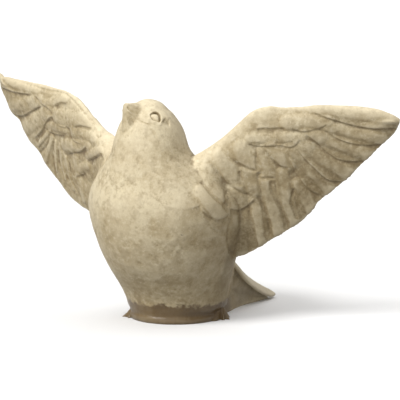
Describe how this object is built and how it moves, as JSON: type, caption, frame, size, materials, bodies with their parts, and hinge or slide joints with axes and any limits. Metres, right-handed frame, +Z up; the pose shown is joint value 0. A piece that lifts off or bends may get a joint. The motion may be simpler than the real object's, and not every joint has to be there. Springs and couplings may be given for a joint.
{
  "type": "dove statue",
  "caption": "Life-size cast stone dove with raised wings, lifted head and a tail that rests on the floor beside its round base.",
  "frame": {"origin": "middle of the flat underside, under the round base", "axes": "+Z up, -Y the way the breast faces, +X the bird's own left"},
  "size_m": [0.5587, 0.285, 0.2719],
  "materials": {
    "cast_stone": "dull cast stone, mottled cream to buff, with darker hollows and a dark glossy band round the base"
  },
  "bodies": {
    "root": {"dove": "cast_stone"}
  },
  "joints": []
}
